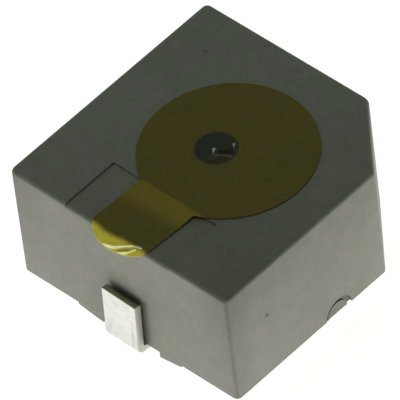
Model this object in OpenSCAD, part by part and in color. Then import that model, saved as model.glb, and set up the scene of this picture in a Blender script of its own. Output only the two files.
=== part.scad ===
// Surface-mount magnetic buzzer with its own drive circuit.
//
// A square moulded case holds a coil, a ring magnet and a steel diaphragm over a small
// circuit board. Two tin-plated terminals fold up its sides, and an amber film seals the
// sound hole until the buzzer has been soldered and washed.
//
// +Z is up and Z = 0 is the plane of the solder feet. The middle of the case is at X = Y = 0.
// -Y is the side that the pull tab hangs over. +X is the side with the gate mark. The cut
// corner, which marks the polarity, is the one between +X and +Y.

/* [Case] */
// Width of the case along X and along Y
body_w = 13; // [10.8:0.1:16]
// Height of the case from its rim to its top
body_h = 6.4; // [5.3:0.1:9]
// Leg of the cut corner along each side
corner_cut = 3.25; // [1.5:0.01:3.6]
// Thickness of the side walls
side_wall = 0.8; // [0.6:0.05:1.1]
// Thickness of the top
top_wall = 0.7; // [0.5:0.05:0.9]
// Radius along the top edges
top_edge_r = 0.2; // [0.05:0.01:0.3]
// Radius of the upright edge between -X and -Y
left_corner_r = 0.35; // [0.2:0.01:0.7]
// Radius of the upright edge between +X and -Y
front_corner_r = 0.3; // [0.2:0.01:0.7]
// Radius of the upright edge between -X and +Y
back_corner_r = 0.3; // [0.2:0.01:0.7]
// Radius of the upright edge where the cut corner meets +X
cut_right_r = 0.2; // [0.1:0.01:0.7]
// Radius of the upright edge where the cut corner meets +Y
cut_back_r = 0.5; // [0.1:0.01:0.7]

/* [Sound hole and chamber] */
// Diameter of the sound hole
hole_d = 2; // [1:0.1:3]
// Distance of the sound hole from the middle of the case, along X
hole_x = 0; // [-0.5:0.05:0.5]
// Distance of the sound hole from the middle of the case, along Y
hole_y = 0.05; // [-0.5:0.05:0.5]
// Thickness of the round wall about the chamber over the diaphragm
chamber_wall = 0.6; // [0.4:0.05:0.8]

/* [Feet and gate mark] */
// Width of the slot that each terminal lies in, between two feet
slot_w = 3.4; // [2.6:0.1:4.4]
// Distance of a slot from the middle of its side, to the right when seen from outside
slot_x = 0.1; // [0:0.05:0.2]
// Width over both feet on one side
feet_w = 6.2; // [5.4:0.1:7.6]
// Height of a foot above the solder plane, at the slot
foot_clear = 0.1; // [0.02:0.01:0.15]
// Radius of the arch under the feet
foot_arch_r = 16; // [12:1:30]
// Radius of the half-round gate recess at the rim
gate_r = 0.83; // [0.5:0.01:1.2]
// Depth of the gate recess
gate_depth = 0.15; // [0.05:0.01:0.3]
// Distance of the gate recess from the middle of its side
gate_y = 0.2; // [-1:0.01:1]
// Diameter of the gate's broken stub
gate_stub_d = 1.28; // [0.3:0.02:1.4]
// Height of the gate's broken stub
gate_stub_h = 0.11; // [0.02:0.01:0.14]

/* [Pull tab recess] */
// Width of the recess in the top
recess_w = 6.2; // [4.5:0.1:8]
// Length of the recess, from the -Y side inward
recess_l = 3.2; // [2.2:0.1:3.6]
// Depth of the recess
recess_depth = 0.1; // [0.05:0.01:0.3]

/* [Seal tape] */
// Diameter of the tape's disc
tape_d = 8.2; // [6:0.05:9]
// Distance of the disc from the middle of the case, along X
tape_x = 0.5; // [0:0.01:0.6]
// Distance of the disc from the middle of the case, along Y
tape_y = 0.28; // [0:0.01:0.6]
// Turn of the pull tab about the disc's middle
tab_turn = 3.5; // [0:0.1:5]
// Width of the pull tab
tab_w = 3.34; // [2:0.01:4]
// Thickness of the tape
tape_t = 0.07; // [0.05:0.01:0.12]
// Length over which the tape bridges from the top down to the recess floor
bridge_l = 1.7; // [0.8:0.1:2]
// Clearance between the folded tab and the rounded edge under it
fold_gap = 0.01; // [0.005:0.005:0.05]
// Length of the tab's round free end
tab_end_l = 0.79; // [0.3:0.01:0.9]
// Distance before the fold at which the tab starts to round off
tab_round_l = 0.2; // [0:0.01:0.4]
// Angle by which the free end droops
tab_droop = 20; // [5:1:60]

/* [Terminals] */
// Width of a terminal
term_w = 2; // [1.2:0.1:2.4]
// Thickness of a terminal, and so the height of the case rim over the solder plane
term_t = 0.4; // [0.3:0.01:0.5]
// Height of a terminal's upright leg above the solder plane
term_h = 3.25; // [1.5:0.05:4]
// Gap between the upright leg and the case
term_gap = 0.12; // [0.05:0.01:0.3]
// Outer radius of a terminal's bends
bend_r = 0.5; // [0.5:0.01:0.6]
// Drop of the sheared end across the thickness of the strip
shear_drop = 0.08; // [0:0.01:0.3]
// Width of the tail that goes up through the base plate and the board
tail_w = 1; // [0.6:0.1:1.2]
// Distance from the tail out to where the terminal reaches its full width
neck_l = 0.4; // [0.2:0.05:0.8]
// Clearance about the tail in its slots
tail_gap = 0.05; // [0.02:0.01:0.1]

/* [Base plate and board] */
// Thickness of the base plate
base_t = 0.7; // [0.6:0.05:1]
// Clearance between the base plate and the case
base_gap = 0.05; // [0.02:0.01:0.1]
// Width of the resin bead around the base plate
seal_w = 0.35; // [0.2:0.05:0.5]
// Height of the resin bead
seal_h = 0.3; // [0.2:0.05:0.4]
// Depth of the pocket under the board, where the wire ends are soldered
pocket_depth = 0.4; // [0.3:0.05:0.45]
// Thickness of the circuit board
board_t = 0.4; // [0.3:0.05:0.8]
// Clearance between the board and the case
board_gap = 0.1; // [0.05:0.01:0.2]

/* [Magnetic circuit] */
// Thickness of the yoke plate
yoke_t = 0.5; // [0.4:0.05:0.7]
// Height of the ring magnet
magnet_h = 1.7; // [1.2:0.1:2]
// Wall of the ring magnet, from its bore to its outside
magnet_wall = 1.3; // [0.9:0.05:1.6]
// Diameter of the pole core
core_d = 2.5; // [1.8:0.1:3]
// Diameter of the core's riveted end
rivet_d = 1.8; // [1.2:0.1:2.2]
// Air gap between the pole core and the diaphragm
air_gap = 0.25; // [0.15:0.01:0.4]
// Thickness of the diaphragm
diaphragm_t = 0.06; // [0.04:0.01:0.1]
// Clearance around the diaphragm in its seat
diaphragm_gap = 0.05; // [0.02:0.01:0.1]
// Diameter of the armature disc
armature_d = 4.6; // [3:0.1:6]
// Thickness of the armature disc
armature_t = 0.25; // [0.15:0.01:0.3]
// Height of the diaphragm's seat above the board
seat_h = 3; // [2.6:0.1:3.4]
// Wall of the support ring
ring_wall = 0.7; // [0.5:0.05:0.9]
// Gap between the support ring and the side walls
ring_gap = 0.4; // [0.2:0.05:0.6]
// Width of the raised rim around the seat
ring_rim_w = 0.2; // [0.1:0.05:0.3]
// Height of the raised rim above the seat
ring_rim_h = 0.1; // [0.1:0.01:0.2]
// Clearance between the ring magnet and the support ring
magnet_gap = 0.1; // [0.05:0.01:0.2]

/* [Coil] */
// Height of the bobbin
bobbin_h = 2; // [1.6:0.1:2.2]
// Thickness of the bobbin's two flanges
flange_t = 0.2; // [0.15:0.01:0.3]
// Wall of the bobbin's hub
hub_wall = 0.15; // [0.1:0.01:0.2]
// Clearance between the pole core and the bobbin
core_gap = 0.05; // [0.02:0.01:0.1]
// Gap between the bobbin and the ring magnet, where the wire ends come down
lead_gap = 0.3; // [0.25:0.01:0.5]
// Depth of the winding's outside below the flanges
winding_inset = 0.1; // [0.05:0.01:0.15]
// Diameter of the wire ends
wire_d = 0.1; // [0.06:0.01:0.12]
// Diameter of the holes in the board for the wire ends
wire_hole_d = 0.24; // [0.2:0.01:0.3]
// Diameter of the holes in the yoke for the wire ends
yoke_hole_d = 0.5; // [0.4:0.05:0.6]
// Height of a soldered wire end below the board
joint_h = 0.25; // [0.15:0.01:0.28]
// Diameter of a soldered wire end at the board
joint_d = 0.6; // [0.4:0.05:0.7]

/* [Drive circuit] */
// Transistor body: length, width, height
transistor_size = [1.2, 0.8, 0.38]; // [0.3:0.01:1.3]
// Transistor over its leads, along its width
transistor_span = 1.2; // [1.1:0.05:1.3]
// Diode body: length, width, height
diode_size = [1.2, 0.8, 0.48]; // [0.4:0.01:1.3]
// Diode over its leads, along its length
diode_span = 1.6; // [1.4:0.05:1.7]
// Base resistor: length, width, height
resistor_size = [1, 0.5, 0.35]; // [0.3:0.01:1.6]
// Thickness of the transistor's and the diode's flat leads
lead_t = 0.12; // [0.08:0.01:0.15]
// Width of the transistor's leads
transistor_lead_w = 0.26; // [0.2:0.01:0.3]
// Width of the diode's leads
diode_lead_w = 0.3; // [0.2:0.01:0.4]
// Clearance between the support ring and the parts in the corners
corner_gap = 0.15; // [0.1:0.05:0.3]

/* [Hidden] */

$fn = 48;           // facets of a circle
large_fn = 96;      // facets of the tape's disc and of the arch under the feet
wire_fn = 16;       // facets of the wire ends
corner_steps = 6;   // facets of each rounded upright edge
edge_steps = 4;     // facets of the rounded top edges
end_steps = 8;      // facets of each half of the pull tab's round end
least_r = 0.05;     // smallest radius that an outline set inward keeps at a corner
cut_extra = 1;      // how far a cutting shape runs past the surface that it cuts
sink = 0.3;         // how far a foot and the stub run into the case that they are part of

// Heights, from the solder plane up
rim_z = term_t;
top_z = rim_z + body_h;
ceiling_z = top_z - top_wall;
floor_z = top_z - recess_depth;
board_z = rim_z + base_t;
yoke_z = board_z + board_t;
coil_z = yoke_z + yoke_t;
seat_z = yoke_z + seat_h;
ring_top_z = seat_z + ring_rim_h;
armature_z = seat_z + diaphragm_t;
core_top_z = seat_z - air_gap;
tail_top_z = yoke_z + yoke_t / 2;

// Distances from the middle, from the outside in
half_w = body_w / 2;
inner_half = half_w - side_wall;
term_out = half_w + term_gap + term_t;
ring_r = inner_half - ring_gap;
ring_bore_r = ring_r - ring_wall;
seat_r = ring_r - ring_rim_w;
chamber_r = ring_r - chamber_wall;
magnet_r = ring_bore_r - magnet_gap;
magnet_bore_r = magnet_r - magnet_wall;
bobbin_r = magnet_bore_r - lead_gap;
lead_r = bobbin_r + lead_gap / 2;
winding_r = bobbin_r - winding_inset;
core_r = core_d / 2;
bobbin_bore_r = core_r + core_gap;
hub_r = bobbin_bore_r + hub_wall;

// Where the pull tab folds over the rounded edge of the -Y side
fold_y = top_edge_r * (1 - tan(tab_droop / 2)) - fold_gap - half_w;
tab_tip_y = fold_y - tab_end_l * cos(tab_droop);
round_y = fold_y + tab_round_l;

// Where the tape starts down into the recess: at the recess's end, or further out, where
// the disc is no longer wider than the recess
disc_fits_y = tape_y - sqrt(max(0, pow(tape_d / 2, 2) - pow(recess_w / 2 - tape_x, 2)));
bridge_y = min(recess_l - half_w, disc_fits_y);

// A terminal's tail stands inside the support ring, with solder about it
solder_side = 0.15;
solder_taper = 0.1;
solder_h = yoke_t / 3;
tail_inset = 0.3;
tail_out = ring_bore_r - tail_inset;
tail_in = tail_out - term_t;
inner_bend_r = bend_r - term_t;
notch_gap = 0.1;

// The wire ends go down at these angles
lead_angles = [45, 135, 225, 315];
pocket_gap = 0.15;
pocket_r = lead_r + joint_d / 2 + pocket_gap;

case_colour = [0.25, 0.26, 0.24];
resin_colour = [0.12, 0.12, 0.13];
tape_colour = [0.85, 0.62, 0.12];
tin_colour = [0.85, 0.85, 0.83];
solder_colour = [0.72, 0.73, 0.75];
board_colour = [0.12, 0.38, 0.2];
iron_colour = [0.5, 0.5, 0.52];
magnet_colour = [0.22, 0.22, 0.24];
bobbin_colour = [0.9, 0.88, 0.8];
copper_colour = [0.78, 0.42, 0.2];
spring_colour = [0.75, 0.76, 0.78];
chip_colour = [0.08, 0.08, 0.09];
ceramic_colour = [0.3, 0.32, 0.4];

// ---- Outlines of the case ----

// One rounded corner of the case's outline, set in by inset: the X and Y of its middle, its
// radius, and the directions in which its arc starts and ends
function square_corner(sx, sy, r, inset, turn) =
    [sx * (half_w - inset - r), sy * (half_w - inset - r), r, turn, turn + 90];

// The middle of the rounded edge between the +X side and the cut corner
function cut_corner_x(r, inset) = half_w - inset - r;
function cut_corner_y(r, inset) =
    half_w - corner_cut + inset * (1 - sqrt(2)) - r * (sqrt(2) - 1);

function case_corners(inset) =
    let (
        left = max(left_corner_r - inset, least_r),
        front = max(front_corner_r - inset, least_r),
        right_cut = max(cut_right_r - inset, least_r),
        back_cut = max(cut_back_r - inset, least_r),
        back = max(back_corner_r - inset, least_r)
    )
    [
        square_corner(-1, -1, left, inset, 180),
        square_corner(1, -1, front, inset, 270),
        [cut_corner_x(right_cut, inset), cut_corner_y(right_cut, inset), right_cut, 0, 45],
        [cut_corner_y(back_cut, inset), cut_corner_x(back_cut, inset), back_cut, 45, 90],
        square_corner(-1, 1, back, inset, 90)
    ];

// The case's outline, set in by inset, as points around it
function case_points(inset) = [
    for (c = case_corners(inset))
        for (i = [0:corner_steps])
            let (a = c[3] + (c[4] - c[3]) * i / corner_steps)
            [c[0] + c[2] * cos(a), c[1] + c[2] * sin(a)]
];

module case_slab(inset, z0, z1) {
    translate([0, 0, z0])
        linear_extrude(z1 - z0)
            polygon(case_points(inset));
}

// ---- Small helpers ----

module disc(r, z0, z1) {
    translate([0, 0, z0])
        cylinder(r = r, h = z1 - z0);
}

module ring(r_out, r_in, z0, z1) {
    difference() {
        disc(r_out, z0, z1);
        disc(r_in, z0 - cut_extra, z1 + cut_extra);
    }
}

// A block centred on x and y, from z0 to z1
module block(x_size, y_size, z0, z1) {
    translate([-x_size / 2, -y_size / 2, z0])
        cube([x_size, y_size, z1 - z0]);
}

module on_both_ends() {
    for (turn = [0, 180])
        rotate([0, 0, turn])
            children();
}

module at_leads() {
    for (a = lead_angles)
        rotate([0, 0, a])
            translate([lead_r, 0, 0])
                children();
}

// The slot in a plate for a terminal's tail and the inside of its bend, on the -Y side
module tail_slot(z0, z1) {
    slot_l = term_t + inner_bend_r + 2 * tail_gap;
    translate([0, tail_gap - tail_in - slot_l / 2, 0])
        block(tail_w + 2 * tail_gap, slot_l, z0, z1);
}

// ---- Case ----

// The solid outer form, with its top edges rounded in a few steps
module case_block() {
    levels = concat(
        [[0, rim_z]],
        [for (a = [0:90 / edge_steps:90])
            [top_edge_r * (1 - cos(a)), top_z - top_edge_r * (1 - sin(a))]]
    );
    n = len(case_points(0));
    points = [for (level = levels) for (p = case_points(level[0])) [p[0], p[1], level[1]]];
    last = n * (len(levels) - 1);
    sides = [
        for (k = [0:len(levels) - 2])
            for (i = [0:n - 1])
                let (a = k * n + i, b = k * n + (i + 1) % n)
                [a, a + n, b + n, b]
    ];
    polyhedron(points, concat(
        [[for (i = [0:n - 1]) i]],
        sides,
        [[for (i = [n - 1:-1:0]) last + i]]
    ));
}

// Two feet beside a terminal's slot on the -Y side, with one arch under both
module foot_pair() {
    arch_z = foot_clear + sqrt(pow(foot_arch_r, 2) - pow(slot_w / 2, 2));
    translate([0, -inner_half, 0])
        rotate([90, 0, 0])
            linear_extrude(side_wall)
                intersection() {
                    translate([0, arch_z])
                        circle(foot_arch_r, $fn = large_fn);
                    for (side = [-1, 1])
                        let (inner = slot_x + side * slot_w / 2, outer = side * feet_w / 2)
                            translate([(inner + outer) / 2, (rim_z + sink) / 2])
                                square([abs(outer - inner), rim_z + sink], center = true);
                }
}

module on_gate() {
    translate([half_w, gate_y, rim_z])
        rotate([0, 90, 0])
            children();
}

module gate_recess() {
    on_gate()
        translate([0, 0, -gate_depth])
            cylinder(r = gate_r, h = gate_depth + cut_extra);
}

// What is left of the broken gate: a half-round stub on the floor of the recess
module gate_stub() {
    intersection() {
        on_gate()
            translate([0, 0, -gate_depth - sink])
                cylinder(d = gate_stub_d, h = sink + gate_stub_h);
        case_slab(0, rim_z, top_z);
    }
}

// The recess in the top, whose floor is rounded off at the side of the case like the top is
module tab_recess() {
    translate([-recess_w / 2, -half_w - cut_extra, floor_z])
        cube([recess_w, recess_l + cut_extra, recess_depth + cut_extra]);
    translate([0, -half_w + top_edge_r, floor_z])
        rotate([90, 0, -90])
            linear_extrude(recess_w, center = true)
                difference() {
                    translate([0, -top_edge_r])
                        square(top_edge_r + cut_extra);
                    translate([0, -top_edge_r])
                        circle(top_edge_r);
                }
}

module housing() {
    color(case_colour) {
        difference() {
            union() {
                difference() {
                    case_block();
                    case_slab(side_wall, rim_z - cut_extra, ceiling_z);
                    gate_recess();
                }
                ring(ring_r, chamber_r, ring_top_z, ceiling_z);
                on_both_ends()
                    foot_pair();
                gate_stub();
            }
            translate([hole_x, hole_y, 0])
                disc(hole_d / 2, ceiling_z - cut_extra, top_z + cut_extra);
            tab_recess();
        }
    }
}

// ---- Seal tape ----

// The line under the tape, seen from the +X side: flat on the top, down across the bridge,
// flat on the recess floor, then folded down past the side of the case
function tape_line() = [
    [half_w, top_z],
    [bridge_y, top_z],
    [bridge_y - bridge_l, floor_z],
    [fold_y, floor_z],
    [tab_tip_y, floor_z - tab_end_l * sin(tab_droop)]
];

module tape_side() {
    low = tape_line();
    high = [for (i = [len(low) - 1:-1:0]) low[i] + [0, tape_t]];
    rotate([90, 0, 90])
        linear_extrude(body_w, center = true)
            polygon(concat(low, high));
}

// The round free end seen from above: half an ellipse over the whole width of the tab
function tab_end_points() =
    [for (i = [-end_steps:end_steps])
        let (a = 90 * i / end_steps)
        [tab_w / 2 / cos(tab_turn) * sin(a), -(round_y - tab_tip_y) * cos(a)]];

module tape_plan() {
    translate([tape_x, tape_y])
        circle(d = tape_d, $fn = large_fn);
    intersection() {
        translate([tape_x, tape_y])
            rotate(-tab_turn)
                translate([-tab_w / 2, -body_w])
                    square([tab_w, body_w]);
        translate([-half_w, round_y])
            square(body_w);
    }
    translate([tape_x - (tape_y - round_y) * tan(tab_turn), round_y])
        polygon(tab_end_points());
}

module seal_tape() {
    color(tape_colour)
        intersection() {
            tape_side();
            translate([0, 0, floor_z - tab_end_l])
                linear_extrude(tab_end_l + recess_depth + cut_extra)
                    tape_plan();
        }
}

// ---- Terminals ----

// The whole strip seen from the side, with u outward and v up: tail, solder foot, upright leg
module strip_side() {
    difference() {
        union() {
            translate([tail_in, 0])
                square([term_out - tail_in, term_t]);
            translate([tail_in, 0])
                square([term_t, tail_top_z]);
            translate([term_out - term_t, 0])
                square([term_t, term_h]);
            // inside of the bends
            translate([tail_out, term_t])
                square(inner_bend_r);
            translate([term_out - term_t - inner_bend_r, term_t])
                square(inner_bend_r);
        }
        translate([tail_out + inner_bend_r, term_t + inner_bend_r])
            circle(inner_bend_r);
        translate([term_out - term_t - inner_bend_r, term_t + inner_bend_r])
            circle(inner_bend_r);
        // outside of the bends
        translate([tail_in + bend_r, 0])
            corner_waste(bend_r, -1);
        translate([term_out - bend_r, 0])
            corner_waste(bend_r, 1);
        // sheared end
        translate([term_out, term_h])
            rotate(atan(shear_drop / term_t))
                translate([-2 * term_t, 0])
                    square([3 * term_t, term_t]);
    }
}

// What a bend of radius r leaves outside it, toward side (1 or -1) and down
module corner_waste(r, side) {
    difference() {
        translate([side > 0 ? 0 : -r - cut_extra, -cut_extra])
            square([r + cut_extra, r + cut_extra]);
        translate([0, r])
            circle(r);
    }
}

// The strip is as wide as the tail up to the neck, and full width from there outward
module terminal() {
    rotate([90, 0, -90]) {
        linear_extrude(tail_w, center = true)
            strip_side();
        linear_extrude(term_w, center = true)
            intersection() {
                strip_side();
                translate([tail_out + neck_l, -cut_extra])
                    square([term_out, term_h + 2 * cut_extra]);
            }
    }
}

module terminal_front() {
    color(tin_colour)
        terminal();
}

module terminal_back() {
    color(tin_colour)
        rotate([0, 0, 180])
            terminal();
}

// ---- Base plate, board and their joints ----

module base_plate() {
    color(resin_colour)
        difference() {
            case_slab(side_wall + base_gap, rim_z, board_z);
            // the groove that the resin bead fills
            difference() {
                case_slab(0, rim_z - cut_extra, rim_z + seal_h);
                case_slab(side_wall + seal_w, rim_z - 2 * cut_extra, board_z);
            }
            disc(pocket_r, board_z - pocket_depth, board_z + cut_extra);
            on_both_ends()
                tail_slot(rim_z - cut_extra, board_z + cut_extra);
        }
}

module epoxy_seal() {
    color(resin_colour)
        difference() {
            case_slab(side_wall, rim_z, rim_z + seal_h);
            case_slab(side_wall + seal_w, rim_z - cut_extra, board_z);
        }
}

module circuit_board() {
    color(board_colour)
        difference() {
            case_slab(side_wall + board_gap, board_z, yoke_z);
            at_leads()
                disc(wire_hole_d / 2, board_z - cut_extra, yoke_z + cut_extra);
            on_both_ends()
                tail_slot(board_z - cut_extra, yoke_z + cut_extra);
        }
}

// A block that narrows upward by the same amount on all four sides
module tapered_block(x_size, y_size, h, taper) {
    module side(size, depth)
        rotate([90, 0, 0])
            linear_extrude(depth, center = true)
                polygon([
                    [-size / 2, 0], [size / 2, 0],
                    [size / 2 - taper, h], [taper - size / 2, h]
                ]);
    intersection() {
        side(x_size, y_size);
        rotate([0, 0, 90])
            side(y_size, x_size);
    }
}

module terminal_solder() {
    color(solder_colour)
        on_both_ends()
            difference() {
                translate([0, -(tail_in + tail_out) / 2, yoke_z])
                    tapered_block(
                        tail_w + 2 * solder_side, term_t + 2 * solder_side,
                        solder_h, solder_taper
                    );
                terminal();
            }
}

module lead_solder() {
    color(solder_colour)
        at_leads()
            difference() {
                translate([0, 0, board_z - joint_h])
                    cylinder(r1 = joint_d / 4, r2 = joint_d / 2, h = joint_h);
                disc(wire_d / 2, board_z - joint_h / 2, board_z + cut_extra);
            }
}

// ---- Magnetic circuit ----

module yoke_plate() {
    color(iron_colour)
        difference() {
            disc(magnet_r, yoke_z, coil_z);
            disc(rivet_d / 2, yoke_z - cut_extra, coil_z + cut_extra);
            at_leads()
                disc(yoke_hole_d / 2, yoke_z - cut_extra, coil_z + cut_extra);
            // notches that clear the soldered tails
            on_both_ends()
                translate([0, -tail_in + solder_side + notch_gap - magnet_r / 2, 0])
                    block(
                        tail_w + 2 * (solder_side + notch_gap), magnet_r,
                        yoke_z - cut_extra, coil_z + cut_extra
                    );
        }
}

module pole_core() {
    color(iron_colour) {
        disc(rivet_d / 2, yoke_z, coil_z);
        disc(core_r, coil_z, core_top_z);
    }
}

module ring_magnet() {
    color(magnet_colour)
        ring(magnet_r, magnet_bore_r, coil_z, coil_z + magnet_h);
}

module support_ring() {
    color(bobbin_colour)
        difference() {
            ring(ring_r, ring_bore_r, yoke_z, ring_top_z);
            disc(seat_r, seat_z, ring_top_z + cut_extra);
        }
}

module diaphragm() {
    color(spring_colour)
        disc(seat_r - diaphragm_gap, seat_z, armature_z);
}

module armature_disc() {
    color(iron_colour)
        disc(armature_d / 2, armature_z, armature_z + armature_t);
}

// ---- Coil ----

module coil_bobbin() {
    color(bobbin_colour)
        difference() {
            union() {
                disc(bobbin_r, coil_z, coil_z + flange_t);
                disc(hub_r, coil_z, coil_z + bobbin_h);
                disc(bobbin_r, coil_z + bobbin_h - flange_t, coil_z + bobbin_h);
            }
            disc(bobbin_bore_r, coil_z - cut_extra, coil_z + bobbin_h + cut_extra);
        }
}

module coil_winding() {
    color(copper_colour)
        ring(winding_r, hub_r, coil_z + flange_t, coil_z + bobbin_h - flange_t);
}

// Each wire end leaves the winding, bends once and goes down through the yoke and the board
module coil_leads() {
    lead_bend_r = lead_gap / 2 - wire_d / 4;
    start_z = coil_z + bobbin_h / 2;
    run = lead_r - winding_r - lead_bend_r;
    color(copper_colour)
        at_leads() {
            disc(wire_d / 2, board_z - joint_h / 2, start_z - lead_bend_r);
            translate([-lead_bend_r, 0, start_z - lead_bend_r])
                rotate([90, 0, 0])
                    rotate_extrude(angle = 90)
                        translate([lead_bend_r, 0])
                            circle(d = wire_d, $fn = wire_fn);
            translate([-lead_bend_r - run, 0, start_z])
                rotate([0, 90, 0])
                    cylinder(d = wire_d, h = run, $fn = wire_fn);
        }
}

// ---- Drive circuit, in the corners outside the support ring ----

// Places a part that reaches depth away from the ring, in the corner at angle a
module in_corner(a, depth) {
    rotate([0, 0, a])
        translate([ring_r + corner_gap + depth / 2, 0, 0])
            rotate([0, 0, 90])
                children();
}

module at_transistor() {
    in_corner(225, transistor_span)
        children();
}

module at_diode() {
    in_corner(135, diode_size[1])
        children();
}

module transistor_body() {
    body_z = yoke_z + lead_t;
    color(chip_colour)
        at_transistor()
            block(transistor_size[0], transistor_size[1], body_z, body_z + transistor_size[2]);
}

module transistor_leads() {
    lead_l = transistor_span / 2 - lead_t;
    color(tin_colour)
        at_transistor()
            for (p = [[-1, -1], [1, -1], [0, 1]])
                translate([p[0] * transistor_size[0] / 3, p[1] * (transistor_span - lead_l) / 2, 0])
                    block(transistor_lead_w, lead_l, yoke_z, yoke_z + lead_t);
}

module diode_body() {
    body_z = yoke_z + lead_t;
    color(chip_colour)
        at_diode()
            block(diode_size[0], diode_size[1], body_z, body_z + diode_size[2]);
}

module diode_leads() {
    lead_l = diode_span / 2 - lead_t;
    color(tin_colour)
        at_diode()
            for (side = [-1, 1])
                translate([side * (diode_span - lead_l) / 2, 0, 0])
                    block(lead_l, diode_lead_w, yoke_z, yoke_z + lead_t);
}

module base_resistor() {
    color(ceramic_colour)
        in_corner(315, resistor_size[1])
            block(resistor_size[0], resistor_size[1], yoke_z, yoke_z + resistor_size[2]);
}

housing();
seal_tape();
terminal_front();
terminal_back();
base_plate();
epoxy_seal();
circuit_board();
terminal_solder();
lead_solder();
yoke_plate();
pole_core();
ring_magnet();
coil_bobbin();
coil_winding();
coil_leads();
support_ring();
diaphragm();
armature_disc();
transistor_body();
transistor_leads();
diode_body();
diode_leads();
base_resistor();
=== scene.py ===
"""Surface-mount magnetic buzzer: a moulded case sealed with amber film, on two tinned terminals.

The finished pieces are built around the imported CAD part, in the same frame: Z = 0 is the plane
of the solder feet, -Y is the side that the pull tab hangs over, +X the side with the gate mark.
Shapes are made in millimetres and brought to metres when a piece is done.
"""

import math
from types import SimpleNamespace

import bmesh
import bpy
from bpy.props import FloatProperty, FloatVectorProperty, PointerProperty
from mathutils import Matrix, Vector


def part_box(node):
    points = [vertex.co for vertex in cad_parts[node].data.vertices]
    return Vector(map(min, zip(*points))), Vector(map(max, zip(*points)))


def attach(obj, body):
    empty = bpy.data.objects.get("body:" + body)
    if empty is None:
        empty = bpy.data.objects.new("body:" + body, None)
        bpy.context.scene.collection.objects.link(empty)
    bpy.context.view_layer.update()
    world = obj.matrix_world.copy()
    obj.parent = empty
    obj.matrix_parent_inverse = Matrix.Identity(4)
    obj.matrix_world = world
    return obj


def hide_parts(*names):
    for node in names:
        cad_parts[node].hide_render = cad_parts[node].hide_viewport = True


bl_info = {
    "name": "Magnetic Buzzer",
    "version": (1, 0, 0),
    "blender": (4, 5, 0),
    "location": "View3D > Sidebar > Buzzer",
    "description": "Builds the visible pieces of a surface-mount magnetic buzzer on its CAD frame",
    "category": "Object",
}

MM = 0.001

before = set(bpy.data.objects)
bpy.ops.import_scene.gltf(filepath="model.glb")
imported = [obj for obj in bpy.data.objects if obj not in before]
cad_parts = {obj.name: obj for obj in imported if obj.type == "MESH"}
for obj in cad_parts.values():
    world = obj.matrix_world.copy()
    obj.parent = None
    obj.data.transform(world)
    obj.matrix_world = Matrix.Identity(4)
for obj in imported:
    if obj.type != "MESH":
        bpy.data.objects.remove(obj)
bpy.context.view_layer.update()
CASE_LOW, CASE_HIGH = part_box("housing")
TAPE_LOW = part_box("seal_tape")[0]
STRIP_LOW, STRIP_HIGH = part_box("terminal_front")
SEAL_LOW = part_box("epoxy_seal")[0]

CLEAR = 1  # mm by which a cutting shape stands clear
SUNK = 0.2  # mm by which a joined shape is sunk in
SAME = 0.001  # mm within which two points are the same
FACING = 0.9  # part of a normal along an axis, past which a face looks that way

# Places that the two creases in the film's free end go through
CREASES = [
    [(-0.3, -7.07), (0.22, -6.94), (0.56, -6.72), (0.94, -6.48), (1.38, -6.37)],
    [(0.58, -7.07), (0.94, -6.86), (1.2, -6.56)],
]
# Dents in the film over the sound hole: centre, radius and depth
DENTS = [((0.1, -0.28), 0.36, 0.075), ((0.6, 0.55), 0.3, 0.064)]


# ---- Settings that a user would change ----


def number(name, description, default, **kind):
    return FloatProperty(name=name, description=description, default=default, **kind)


def length(name, description, default):
    """A length setting, given in millimetres and kept in metres."""
    kind = {"soft_min": 0, "precision": 5, "subtype": "DISTANCE", "unit": "LENGTH"}
    return number(name, description, default * MM, **kind)


def turn(name, description, degrees):
    return number(name, description, math.radians(degrees), subtype="ANGLE")


def colour(name, description, default):
    kind = {"size": 3, "min": 0, "max": 1, "subtype": "COLOR"}
    return FloatVectorProperty(name=name, description=description, default=default, **kind)


def in_mm(group):
    """The lengths of a settings group in millimetres, and its other values as they are."""
    values = {}
    for name, prop in group.bl_rna.properties.items():
        if prop.type == "FLOAT":
            value = getattr(group, name)
            values[name] = value / MM if prop.subtype == "DISTANCE" else value
    return SimpleNamespace(**values)


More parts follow.
